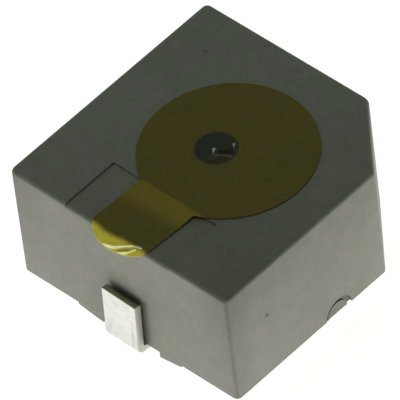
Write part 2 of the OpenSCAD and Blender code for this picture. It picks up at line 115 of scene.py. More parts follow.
class CaseSettings(bpy.types.PropertyGroup):
    """Sizes of the moulded case"""

    rim: length("Rim", "Height of the rim above the solder plane", SEAL_LOW.z / MM)
    cut: length("Cut corner", "Leg of the cut corner along each side", 3.25)
    wall: length("Side wall", "Thickness of the side walls", 0.8)
    roof: length("Top", "Thickness of the top", 0.7)
    left_r: length("Left edge", "Radius of the upright edge between -X and -Y", 0.35)
    front_r: length("Front edge", "Radius of the upright edge between +X and -Y", 0.3)
    back_r: length("Back edge", "Radius of the upright edge between -X and +Y", 0.3)
    cut_right_r: length("Cut edge, +X", "Radius where the cut corner meets +X", 0.2)
    cut_back_r: length("Cut edge, +Y", "Radius where the cut corner meets +Y", 0.5)
    top_r: length("Top edges", "Radius along the top edges", 0.2)
    small_r: length("Small edges", "Radius that the mould leaves on the other edges", 0.04)
    hole_d: length("Sound hole", "Diameter of the sound hole", 2.0)
    hole_x: length("Hole X", "Distance of the sound hole from the middle, along X", 0)
    hole_y: length("Hole Y", "Distance of the sound hole from the middle, along Y", 0.05)
    recess_w: length("Recess width", "Width of the pull tab's recess", 6.2)
    recess_l: length("Recess length", "Length of the pull tab's recess", 3.2)
    recess_d: length("Recess depth", "Depth of the pull tab's recess", 0.1)
    slot_w: length("Terminal slot", "Width of the slot that a terminal lies in", 3.4)
    slot_x: length("Slot offset", "Distance of a slot from the middle of its side", 0.1)
    feet_w: length("Feet", "Width over both feet on one side", 6.2)
    foot_clear: length("Foot clearance", "Height of a foot above the solder plane", 0.1)
    arch_r: length("Foot arch", "Radius of the arch under the feet", 16.0)
    gate_r: length("Gate recess", "Radius of the gate recess", 0.83)
    gate_d: length("Gate depth", "Depth of the gate recess", 0.15)
    gate_y: length("Gate Y", "Distance of the gate recess from the middle of its side", 0.2)
    stub_r: length("Gate stub", "Radius of the gate's broken stub", 0.64)
    stub_y: length("Stub offset", "Distance of the stub from the middle of its recess", 0.1)
    stub_h: length("Stub height", "Height of the gate's broken stub", 0.11)
    chamber_r: length("Chamber", "Inner radius of the round wall about the chamber", 4.7)
    chamber_wall: length("Chamber wall", "Thickness of that wall", 0.6)
    chamber_z: length("Chamber foot", "Height of that wall's lower end", 4.6)


class TapeSettings(bpy.types.PropertyGroup):
    """Sizes of the seal tape"""

    disc_d: length("Disc", "Diameter of the tape's disc", 8.2)
    disc_x: length("Disc X", "Distance of the disc from the middle, along X", 0.5)
    disc_y: length("Disc Y", "Distance of the disc from the middle, along Y", 0.28)
    tab_w: length("Pull tab", "Width of the pull tab", 3.34)
    tab_turn: turn("Tab turn", "Turn of the pull tab about the disc's middle", 3.5)
    thick: length("Thickness", "Thickness of the film", 0.07)
    bridge_l: length("Bridge", "Length over which the film comes down to the recess floor", 1.7)
    round_l: length("Round end", "Distance before the fold at which the tab rounds off", 0.2)
    end_l: length("Free end", "Length of the free end past the fold", 0.79)
    droop: turn("Droop", "Angle by which the free end droops", 20)
    crease_h: length("Crease height", "Height of the creases in the free end", 0.025)
    crease_w: length("Crease width", "Distance over which a crease falls away", 0.18)
    sag: length("Sag", "Depth to which the film sags over the sound hole", 0.02)


class TerminalSettings(bpy.types.PropertyGroup):
    """Sizes of the two terminals"""

    thick: length("Thickness", "Thickness of the strip", 0.4)
    bend_r: length("Bend", "Outer radius of the bends", 0.5)
    tail_w: length("Tail", "Width of the tail inside the case", 1.0)
    tail_top: length("Tail end", "Height of the tail's end", 1.75)
    neck_l: length("Neck", "Distance from the tail to the full width", 0.4)
    shear: length("Sheared end", "Drop of the sheared end across the strip", 0.08)
    edge_r: length("Edges", "Radius that blanking and plating leave on the edges", 0.05)
    lean: length("Lean", "Sideways lean of the front terminal at its top", 0.13)
    tip: length("Tip", "Height of the front terminal's left corner above the right", 0.1)


class FinishSettings(bpy.types.PropertyGroup):
    """Colours of the finishes"""

    case_side: colour("Case, sides", "Eroded side walls of the case", (0.142, 0.147, 0.118))
    case_top: colour("Case, top", "Smoother top of the case", (0.108, 0.130, 0.092))
    # painted shade: the top's darker, browner tone by the front corner
    case_front_shade: colour("Case, handled", "Top of the case by its front edge", (0.084, 0.090, 0.051))
    # also carries the painted shade along the front edge and in the gate recess
    case_dirt_and_shade: colour("Case, marks", "Rubbed and soiled spots", (0.045, 0.042, 0.026))
    film_down: colour("Film, bonded", "Film where it is stuck down", (0.088, 0.081, 0.004))
    film_brown: colour("Film, patches", "Browner patches where bonded", (0.098, 0.076, 0.004))
    # painted shade of the dark chamber under the film
    film_hole_shade: colour("Film, hole", "Film over the sound hole", (0.034, 0.042, 0.024))
    # painted glints, given off as emission along the creases
    film_glint_emission: colour("Film, glints", "Light led along the creases", (0.34, 0.34, 0.11))
    # painted highlight: a pale arc next to the dent over the hole
    film_arc_highlight: colour("Film, glue", "Glue in the dent over the hole", (0.35, 0.36, 0.26))
    film_edge: colour("Film, edge", "Cut edge of the film", (0.051, 0.044, 0.010))
    film_free: colour("Film, free", "Film with light behind it", (0.70, 0.64, 0.05))
    # painted highlight along the creases
    film_crease_highlight: colour("Film, creases", "Creases in the free end", (1.0, 0.99, 0.5))
    tin: colour("Tin", "Matte tin plating", (0.755, 0.76, 0.725))
    strip_core: colour("Strip core", "Bare metal at the sheared ends", (0.34, 0.34, 0.24))
    resin: colour("Resin", "Sealing resin", (0.02, 0.021, 0.022))
    plate: colour("Base plate", "Moulded base plate", (0.03, 0.031, 0.031))


class StageSettings(bpy.types.PropertyGroup):
    """Camera and light"""

    distance: length("Distance", "From the camera to the point that it looks at", 427.036)
    azimuth: turn("Azimuth", "Turn of the camera round the part from -Y", 47.931)
    elevation: turn("Elevation", "Height of the camera above the horizon", 46.542)
    roll: turn("Roll", "Turn of the camera about its own axis", 7.51)
    lens: number("Lens", "Focal length in millimetres", 868)
    aim: FloatVectorProperty(
        name="Aim",
        description="Point that the camera looks at",
        default=(-0.7808 * MM, -0.6047 * MM, 3.5682 * MM),
        size=3,
        subtype="TRANSLATION",
        unit="LENGTH",
        precision=6,
    )
    table: number("Table light", "Light that the pale table sends up", 2.36)
    sky: number("Overhead light", "Light from straight above", 0.25)
    horizon: number("Horizon light", "Light from low down all round", 0.5)


# ---- Modelling helpers ----


def deselect_all():
    if bpy.context.object and bpy.context.object.mode != "OBJECT":
        bpy.ops.object.mode_set(mode="OBJECT")
    bpy.ops.object.select_all(action="DESELECT")


def make_active(ob):
    deselect_all()
    ob.select_set(True)
    bpy.context.view_layer.objects.active = ob


def named(name, size=None):
    """Names and sizes the new primitive, brings its place into its mesh and deselects it."""
    ob = bpy.context.object
    ob.name = ob.data.name = name
    if size:
        ob.scale = size
    bpy.ops.object.transform_apply(location=True, rotation=True, scale=True)
    bpy.ops.object.mode_set(mode="EDIT")
    bpy.ops.mesh.select_all(action="DESELECT")
    bpy.ops.object.mode_set(mode="OBJECT")
    return ob


def box(name, low, high):
    deselect_all()
    low, high = Vector(low), Vector(high)
    bpy.ops.mesh.primitive_cube_add(size=1, location=(low + high) / 2)
    return named(name, high - low)


def drum(name, radius, low, high, axis="Z", vertices=96):
    """A cylinder from the point low to the point high along X, Y or Z."""
    deselect_all()
    low, high = Vector(low), Vector(high)
    rotation = {"X": (0, math.pi / 2, 0), "Y": (math.pi / 2, 0, 0), "Z": (0, 0, 0)}[axis]
    bpy.ops.mesh.primitive_cylinder_add(
        vertices=vertices,
        radius=radius,
        depth=(high - low).length,
        location=(low + high) / 2,
        rotation=rotation,
    )
    return named(name)


def edit(ob, kind, wanted):
    """Enters edit mode and selects only the parts of a kind for which wanted is true."""
    make_active(ob)
    bpy.ops.object.mode_set(mode="EDIT")
    bpy.ops.mesh.select_mode(type=kind)
    bpy.ops.mesh.select_all(action="DESELECT")
    mesh = bmesh.from_edit_mesh(ob.data)
    mesh.normal_update()
    parts = {"VERT": mesh.verts, "EDGE": mesh.edges, "FACE": mesh.faces}[kind]
    chosen = [part for part in parts if wanted(part)]
    if not chosen:
        raise RuntimeError(f"{ob.name}: nothing to work on")
    for part in chosen:
        part.select_set(True)
    mesh.select_flush_mode()
    bmesh.update_edit_mesh(ob.data)


def edit_all(ob):
    edit(ob, "FACE", lambda face: True)


def leave():
    bpy.ops.mesh.select_all(action="DESELECT")
    bpy.ops.object.mode_set(mode="OBJECT")


def round_edges(ob, radius, wanted, steps=4):
    """Rounds the edges for which wanted is true. The radius is the setback along each face."""
    edit(ob, "EDGE", wanted)
    bpy.ops.mesh.bevel(
        offset=radius, offset_type="OFFSET", segments=steps, profile=0.5, clamp_overlap=False
    )
    leave()


def modify(ob, kind, **settings):
    """Adds a modifier with its settings and applies it."""
    make_active(ob)
    bpy.ops.object.modifier_add(type=kind)
    modifier = ob.modifiers[-1]
    for name, value in settings.items():
        setattr(modifier, name, value)
    bpy.ops.object.modifier_apply(modifier=modifier.name)


def combine(ob, others, operation):
    """Joins others to ob, cuts them from it, or keeps what they share, and removes them."""
    for other in others:
        modify(ob, "BOOLEAN", operation=operation, solver="EXACT", object=other)
        mesh = other.data
        bpy.data.objects.remove(other)
        bpy.data.meshes.remove(mesh)


def press(ob, depth, amount, direction="Z"):
    """Moves the surface by depth times what amount gives for each point, from 0 to 1."""
    group = ob.vertex_groups.new(name="press")
    for vertex in ob.data.vertices:
        weight = min(max(amount(vertex.co), 0.0), 1.0)
        if weight > 0:
            group.add([vertex.index], weight, "REPLACE")
    modify(ob, "DISPLACE", direction=direction, strength=depth, mid_level=0, vertex_group="press")
    ob.vertex_groups.clear()


def smooth(ob, degrees):
    make_active(ob)
    bpy.ops.object.shade_smooth_by_angle(angle=math.radians(degrees))


def finished(ob, finishes, node):
    """Cleans a piece, brings it to metres and lets it stand in its finishes for its CAD node."""
    edit_all(ob)
    bpy.ops.mesh.remove_doubles(threshold=SAME)
    leave()
    edit_all(ob)
    bpy.ops.mesh.dissolve_degenerate(threshold=SAME / 10)
    leave()
    make_active(ob)
    ob.scale = (MM, MM, MM)
    bpy.ops.object.transform_apply(location=True, rotation=True, scale=True)
    ob.data.materials.clear()
    for material in finishes:
        ob.data.materials.append(material)
    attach(ob, "root")
    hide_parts(node)
    deselect_all()


def put(name, data, place, turned):
    """Puts a lamp or the camera in the scene."""
    ob = bpy.data.objects.new(name, data)
    ob.location = place
    ob.rotation_mode = "QUATERNION"
    ob.rotation_quaternion = turned
    bpy.context.scene.collection.objects.link(ob)
    return ob


def from_line(point, places):
    """Distance in the plane between a point and the line through the places."""
    point = Vector((point.x, point.y))
    gaps = []
    for start, end in zip(places, places[1:]):
        start, end = Vector(start), Vector(end)
        part = (point - start).dot(end - start) / (end - start).length_squared
        gaps.append((point - start.lerp(end, min(max(part, 0), 1))).length)
    return min(gaps)


def ease(low, high, value):
    """0 below low, 1 above high, and a smooth rise between them."""
    t = min(max((value - low) / (high - low), 0.0), 1.0)
    return t * t * (3 - 2 * t)


def near(value, target, reach=0.01):
    return abs(value - target) < reach


def middle(edge):
    return (edge.verts[0].co + edge.verts[1].co) / 2


def upright(edge):
    along = edge.verts[1].co - edge.verts[0].co
    return abs(along.z) > 0.99 * along.length


# ---- Materials ----


class Value:
    """A number in a material. Arithmetic on it adds Math nodes."""

    def __init__(self, finish, socket):
        self.finish = finish
        self.socket = socket

    def maths(self, operation, *others, clamp=False):
        node = self.finish.node(
            "ShaderNodeMath",
            {"operation": operation, "use_clamp": clamp},
            dict(enumerate([self, *others])),
        )
        return Value(self.finish, node.outputs[0])

    def __add__(self, other):
        return self.maths("ADD", other)

    __radd__ = __add__

    def __mul__(self, other):
        return self.maths("MULTIPLY", other)

    __rmul__ = __mul__

    def __sub__(self, other):
        return self.maths("SUBTRACT", other)

    def __rsub__(self, other):
        return self.maths("MULTIPLY_ADD", -1.0, other)

    def __truediv__(self, other):
        return self.maths("DIVIDE", other)

    def __pow__(self, other):
        return self.maths("POWER", other)

    def rise(self, low, high):
        """0 below low, 1 above high, and a smooth rise between them."""
        node = self.finish.node(
            "ShaderNodeMapRange",
            {"interpolation_type": "SMOOTHSTEP"},
            {"Value": self, "From Min": low, "From Max": high},
        )
        return Value(self.finish, node.outputs["Result"])

    def fall(self, low, high):
        """1 below low, 0 above high."""
        return 1 - self.rise(low, high)

    def clamped(self):
        return self.maths("ADD", 0.0, clamp=True)

    def size(self):
        return self.maths("ABSOLUTE")

    def most(self, other):
        return self.maths("MAXIMUM", other)


class Finish:
    """A material, or the world, and the nodes that make it."""

    def __init__(self, owner):
        self.owner = owner
        owner.use_nodes = True
        self.tree = owner.node_tree
        self.tree.nodes.clear()

    @classmethod
    def material(cls, name):
        return cls(bpy.data.materials.new(name))

    def node(self, kind, settings=None, inputs=None):
        """Adds a node: its settings first, then the values or links of its sockets."""
        node = self.tree.nodes.new(kind)
        for name, value in (settings or {}).items():
            setattr(node, name, value)
        for name, value in (inputs or {}).items():
            self.feed(node.inputs[name], value)
        return node

    def feed(self, socket, value):
        if isinstance(value, Value):
            value = value.socket
        if isinstance(value, bpy.types.NodeSocket):
            self.tree.links.new(value, socket)
        elif socket.type == "RGBA" and len(value) == 3:
            socket.default_value = (*value, 1)
        else:
            socket.default_value = value

    def vector(self, operation, inputs):
        """Vector maths: gives a vector as a socket, or a length as a number."""
        node = self.node("ShaderNodeVectorMath", {"operation": operation}, inputs)
        if operation in ("DISTANCE", "LENGTH"):
            return Value(self, node.outputs["Value"])
        return node.outputs[0]

    def place(self):
        """The point of the surface, in millimetres: as a vector socket and as X, Y and Z."""
        coordinates = self.node("ShaderNodeTexCoord").outputs["Object"]
        point = self.vector("SCALE", {0: coordinates, "Scale": 1 / MM})
        parts = self.node("ShaderNodeSeparateXYZ", None, {0: point})
        return point, *[Value(self, parts.outputs[axis]) for axis in "XYZ"]

    def noise(self, point, size, detail=2.0, roughness=0.5):
        """Noise with grains of about size millimetres, as a number around 0.5."""
        node = self.node(
            "ShaderNodeTexNoise",
            {"noise_dimensions": "3D"},
            {"Vector": point, "Scale": 1 / size, "Detail": detail, "Roughness": roughness},
        )
        return Value(self, node.outputs[0])

    def mix(self, factor, first, second):
        """The first colour where the factor is 0, and the second where it is 1."""
        colour_a, colour_b, colour_out = 6, 7, 2
        node = self.node(
            "ShaderNodeMix",
            {"data_type": "RGBA", "clamp_factor": True},
            {0: factor, colour_a: first, colour_b: second},
        )
        return node.outputs[colour_out]

    def shade(self, base, amount):
        """A colour made lighter or darker by a number around 1."""
        return self.vector("SCALE", {0: base, "Scale": amount})

    def tinted(self, base, tint):
        """A colour times another colour."""
        return self.vector("MULTIPLY", {0: base, 1: tint})

    def colour(self, value):
        """A colour as a socket that nodes can change."""
        node = self.node("ShaderNodeRGB")
        node.outputs[0].default_value = (*value, 1)
        return node.outputs[0]

    def spots(self, point, spots, ragged=0.0):
        """Soft spots, each given by its centre, radius and strength."""
        total = None
        for centre, radius, strength in spots:
            away = self.vector("DISTANCE", {0: point, 1: centre}) + ragged * radius
            spot = strength * away.fall(0.4 * radius, radius)
            total = spot if total is None else total.most(spot)
        return total

    def line(self, x, y, start, end, width):
        """A soft line between two points of the plane, which fades out at its ends."""
        fade = 0.08
        along = Vector(end) - Vector(start)
        reach = along.length
        along = along / reach
        x, y = x - start[0], y - start[1]
        place = x * along.x + y * along.y
        aside = (y * along.x - x * along.y).size()
        ends = place.rise(-fade, 0) * place.fall(reach, reach + fade)
        return aside.fall(0.3 * width, 1.6 * width) * ends

    def crease(self, x, y, places, widths):
        """A soft line through the places, with a width for each stretch."""
        found = None
        for start, end, width in zip(places, places[1:], widths):
            stretch = self.line(x, y, start, end, width)
            found = found.most(stretch) if found else stretch
        return found

    def bump(self, height, depth, strength=1.0):
        """A bump of that many millimetres."""
        return self.node(
            "ShaderNodeBump",
            None,
            {"Height": height, "Distance": depth * MM, "Strength": strength},
        ).outputs[0]

    def seen(self):
        """1 for rays that show a surface or its reflection, 0 for those that only light."""
        path = self.node("ShaderNodeLightPath").outputs
        rays = [path[f"Is {kind} Ray"] for kind in ("Camera", "Glossy", "Transmission")]
        camera, glossy, through = [Value(self, ray) for ray in rays]
        return camera.most(glossy).most(through)

    def surface(self, **inputs):
        node = self.node("ShaderNodeBsdfPrincipled")
        for name, value in inputs.items():
            self.feed(node.inputs[name.replace("_", " ")], value)
        self.node("ShaderNodeOutputMaterial", None, {"Surface": node.outputs[0]})
        return self.owner


def distance(a, b, centre):
    """How far a place in a plane is from a centre."""
    return ((a - centre[0]) ** 2.0 + (b - centre[1]) ** 2.0) ** 0.5


def case_finish(settings, case):
    """Glass-filled plastic: an eroded grain on the sides, a smoother top and a few marks, with
    painted shade and sheen.
    """
    f = Finish.material("case_plastic")
    point, x, y, z = f.place()
    half = CASE_HIGH.x / MM
    high = CASE_HIGH.z / MM
    floor = high - case.recess_d
    on_top = z.rise(high - 1.2 * case.top_r, high - 0.2 * case.top_r)
    on_floor = z.rise(floor - 0.05, floor - 0.01)
    side_x, back_y = case.recess_w / 2, case.recess_l - half
    on_floor = on_floor * x.size().fall(side_x, side_x + 0.02) * y.fall(back_y, back_y + 0.02)
    smoother = on_top.most(on_floor)

    cloud = f.noise(point, 3.0, 3.0)
    blotch = f.noise(point, 0.9, 3.0, 0.6)
    tint = f.noise(point, 1.4, 2.0)
    fleck = f.noise(point, 0.16, 3.0, 0.6)
    grain = f.noise(point, 0.055, 3.0, 0.65)

    # painted sheen: the top is paler and greener at the back, and darker and browner towards the
    # front corner
    front_shade = (x - y + 4 * (cloud - 0.5)).rise(-5, 15)
    top = f.mix(front_shade, settings.case_top, settings.case_front_shade)

    # painted shade: the sides are darker by the front edge, at the left end and high up on +X,
    from_edge = distance(x, y, (half, -half))
    painted_shade = 0.16 * from_edge.fall(0.2, 2.2) + 0.13 * x.fall(-half, 2.5 - half)
    painted_shade = painted_shade + 0.1 * z.rise(high - 2.4, high - 0.6) * x.rise(half - 0.3, half)

    # and a painted shadow on the wall next to and above the front terminal
    strip_x = STRIP_HIGH.x / MM
    past_strip = (x - strip_x - 0.04 * z).most(z - 3.1)
    strip_shadow = past_strip.fall(0, 0.45) * x.rise(-strip_x, -0.5)
    painted_shade = painted_shade + 0.5 * strip_shadow * (y + half).fall(0.02, 0.1)
    side = f.shade(f.colour(settings.case_side), 1 - painted_shade)
    # a painted dark line of shade along the front upright edge
    side = f.mix(0.65 * from_edge.fall(0.06, 0.2), side, settings.case_dirt_and_shade)

    # painted shade in the gate recess, deepest in an arc round the stub
    from_gate = distance(y, z, (case.gate_y, case.rim))
    from_stub = distance(y, z, (case.gate_y - case.stub_y, case.rim))
    arc = from_stub.rise(case.stub_r - 0.08, case.stub_r + 0.04) * y.fall(-0.2, 0.45)
    in_recess = from_gate.fall(case.gate_r, case.gate_r + 0.06) * x.rise(half - 0.3, half - 0.2)
    darkened = (0.25 + 0.5 * arc) * in_recess
    side = f.mix(darkened, side, f.tinted(f.colour(settings.case_dirt_and_shade), (1.05, 1.05, 0.85)))

    base = f.mix(smoother, side, top)
    base = f.mix(blotch.rise(0.42, 0.7), base, f.shade(base, 1.09))
    base = f.mix(0.5 * tint.rise(0.45, 0.65), base, f.tinted(base, (1.02, 0.97, 1.06)))
    base = f.mix(0.6 * tint.fall(0.38, 0.52), base, f.tinted(base, (0.99, 1.01, 0.93)))
    base = f.shade(base, 1 + 0.25 * (cloud - 0.5) + (0.4 + 0.2 * smoother) * (fleck - 0.5))

    # specks, smudges, a pit and a short scratch: centre, radius and strength
    specks = [
        ((-4.43, 4.18, high), 0.13, 0.7),
        ((2.87, -3.3, high), 0.12, 0.6),
        ((4.04, -4.11, high), 0.3, 0.22),
        ((4.6, -4.05, high), 0.24, 0.18),
        ((-1.83, -5.14, floor), 0.11, 0.6),
        ((half, -4.18, 3.99), 0.14, 0.75),
        ((-2.2, 5.3, high), 0.1, 0.4),
        ((-half, 1.4, 2.9), 0.12, 0.5),
        ((1.9, half, 4.6), 0.15, 0.4),
    ]
    scratches = [((half, -2.5, 4.54), 0.09, 0.8), ((half, -2.38, 4.6), 0.08, 0.6)]
    marks = f.spots(point, specks, 0.35 * (blotch - 0.5))
    base = f.mix(marks, base, settings.case_dirt_and_shade)
    base = f.shade(base, 1 + 0.35 * f.spots(point, scratches))

    rough = 0.62 - 0.1 * smoother + 0.12 * (cloud - 0.5)
    bump = f.bump(grain * (1 - 0.5 * smoother) + 0.6 * fleck - 2.0 * marks, 0.02, 0.5)
    return f.surface(Base_Color=base, Roughness=rough, Normal=bump, IOR=1.5)


def film_finish(settings, case, tape):
    """Clear amber film: dark where it is stuck down, bright where light comes through it."""
    f = Finish.material("amber_film")
    point, x, y, _ = f.place()
    edge_y = CASE_LOW.y / MM
    bridge_y = edge_y + case.recess_l
    cloud = f.noise(point, 1.6, 3.0)
    blotch = f.noise(point, 0.55, 3.0, 0.6)
    fine = f.noise(point, 0.5, 2.0)
    speck = f.noise(point, 0.2, 3.0, 0.6)

    # stuck down, with browner patches where the adhesive is thicker
    uneven = 0.3 * (cloud - 0.5) + 0.4 * (blotch - 0.5) + 0.7 * (speck - 0.5)
    base = f.shade(f.colour(settings.film_down), 1 + uneven)
    base = f.mix((blotch + cloud - 0.5).rise(0.42, 0.72), base, settings.film_brown)

    # painted light: paler over the gap under the film at the recess step, where light gets in
    # under it
    down_y = bridge_y - tape.bridge_l
    air_gap_light = y.fall(bridge_y - 0.12, bridge_y + 0.02) * y.rise(down_y, down_y + 0.6 * tape.bridge_l)
    base = f.mix(air_gap_light, base, f.shade(base, 1.75))

    # the free end, painted bright for the light behind it, and its creases, with a painted
    # highlight along them
    ragged = 0.12 * (blotch - 0.5) - 0.07 * (x + 0.5).size().fall(0.1, 0.9)
    free = (y - ragged).fall(edge_y - 0.12, edge_y + 0.2)
    base = f.mix(free, base, f.shade(f.colour(settings.film_free), 1 + 0.5 * (blotch - 0.5)))

    def both_creases(upper_widths, lower_widths):
        upper, lower = CREASES
        return f.crease(x, y, upper, upper_widths).most(f.crease(x, y, lower, lower_widths))

    creases = both_creases([0.075, 0.07, 0.05, 0.035], [0.075, 0.045])
    ridges = both_creases([0.16, 0.15, 0.11, 0.08], [0.16, 0.1])
    glints = both_creases([0.045, 0.03, 0.02], [0.04, 0.02])
    # painted glints: emission along the creases
    glow = f.shade(f.colour(settings.film_glint_emission), (glints * (1.6 * fine + 0.1)).clamped())
    # painted shade between the two creases
    between = f.line(x, y, (0.5, -6.95), (0.95, -6.68), 0.06)
    base = f.shade(base, 1 - 0.4 * between * free)
    # painted highlight along the creases
    base = f.mix((creases * (0.8 * fine + 0.7)).clamped(), base, settings.film_crease_highlight)

    # painted shade over the sound hole, for the dark chamber under the film, which is also partly
    # see-through there; a painted dark streak in the dent, and a painted pale arc next to it
    hole_r = case.hole_d / 2
    over_hole = distance(x, y, (case.hole_x, case.hole_y)).fall(hole_r - 0.09, hole_r + 0.05)
    hole = f.shade(f.colour(settings.film_hole_shade), 1 + 0.9 * (cloud - 0.5) + 0.5 * (blotch - 0.5))
    hole = f.mix(x.rise(-0.2, 0.5), hole, f.tinted(hole, (1.05, 1.0, 0.45)))
    hole = f.shade(hole, 1 - 0.85 * f.line(x, y, (0.26, -0.04), (0.7, 0.36), 0.12))
    # painted highlight: a pale arc next to the dent
    arc_highlight = f.crease(x, y, [(0.2, -0.3), (0.62, 0.0), (0.85, 0.1)], [0.05, 0.07])
    hole = f.mix(0.22 * arc_highlight, hole, settings.film_arc_highlight)
    base = f.mix(over_hole, base, hole)

    # dents over the hole, and the ridges of the creases
    dents = 0
    for centre, radius, depth in DENTS:
        away = distance(x, y, centre)
        dents = dents + depth * (1 - (away / radius).clamped())
    height = 0.002 * fine + 0.035 * ridges - dents
    return f.surface(
        Base_Color=base,
        Roughness=0.1 + 0.1 * over_hole,
        Alpha=0.95 - 0.35 * over_hole,
        Normal=f.bump(height, 1.0),
        IOR=1.4,
        Emission_Color=glow,
        Emission_Strength=1.0,
    )


def edge_finish(settings):
    """The film's cut edge: darker and mottled, and on the free end partly given the painted light
    behind it.
    """
    f = Finish.material("amber_film_edge")
    point, _, y, _ = f.place()
    patch = f.noise(point, 0.4, 3.0)
    base = f.shade(f.colour(settings.film_edge), 1 + 0.8 * (patch - 0.5))
    edge_y = CASE_LOW.y / MM
    free = y.fall(edge_y - 0.1, edge_y + 0.15)
    base = f.mix(0.35 * free, base, settings.film_free)
    return f.surface(Base_Color=base, Roughness=0.6 + 0.2 * (patch - 0.5))


def tin_finish(settings, strip):
    """Matte tin over the strip, rubbed and stained, with bare metal at the sheared ends."""
    f = Finish.material("matte_tin")
    point, x, y, z = f.place()
    high = STRIP_HIGH.z / MM
    grain = f.noise(point, 0.05, 3.0, 0.6)
    cloud = f.noise(point, 0.7, 3.0)
    stain = f.noise(point, 0.45, 4.0, 0.6)
    half_w = STRIP_HIGH.x / MM
    out = -STRIP_LOW.y / MM

    # the front terminal leans, and its left corner stands higher
    at_front = y.fall(0, 0.1)
    lean = strip.lean * (z / high) * at_front
    tip = strip.tip * (0.5 - 0.5 * x / half_w) * at_front
    rim = (x - lean).size().rise(half_w - 0.07, half_w)
    slope = strip.shear / strip.thick
    cut = (z - tip - high + slope * (out - y.size())).rise(-0.05, -0.01)

    # rubbed, stained and a little warmer towards the top
    base = f.shade(f.colour(settings.tin), 1 + 0.12 * (cloud - 0.5) + 0.1 * (stain - 0.5))
    base = f.shade(base, 1 - 0.1 * z.fall(0.6, 1.8) - 0.2 * rim)
    rubbed = 0.13 * f.line(x - lean, z, (0.7, 0.4), (0.78, 2.2), 0.07)
    rubbed = rubbed + 0.1 * f.line(x, z, (-0.7, 0.7), (-0.55, 1.3), 0.12)
    base = f.shade(base, 1 - 0.11 * stain.rise(0.44, 0.66) - rubbed)
    base = f.mix(rim, base, f.tinted(base, (0.99, 1.0, 0.92)))
    warm = stain.rise(0.35, 0.6) * z.rise(0.6, high)
    base = f.mix(0.7 * warm, base, f.tinted(base, (1.0, 0.985, 0.92)))
    core = f.shade(f.colour(settings.strip_core), 0.5 + 0.7 * stain + 0.4 * grain)
    base = f.mix(cut, base, core)
    rough = 0.36 + 0.14 * (cloud - 0.5) + 0.2 * rim
    return f.surface(
        Base_Color=base,
        Metallic=1 - 0.25 * rim,
        Roughness=rough,
        Normal=f.bump(grain + 0.6 * stain, 0.006, 0.5),
    )


def plain_finish(name, shade, rough, metal=0.0, grain_size=0.1):
    """A finish with a little grain and a little variety, for the pieces inside the case."""
    f = Finish.material(name)
    point = f.place()[0]
    cloud = f.noise(point, 1.5, 3.0)
    grain = f.noise(point, grain_size, 3.0, 0.6)
    variety = 0.12
    base = f.shade(f.colour(shade), 1 + variety * (cloud - 0.5) + variety * (grain - 0.5))
    return f.surface(
        Base_Color=base,
        Metallic=metal,
        Roughness=rough + 0.1 * (cloud - 0.5),
        Normal=f.bump(grain, 0.01, 0.5),
    )


# ---- Pieces ----


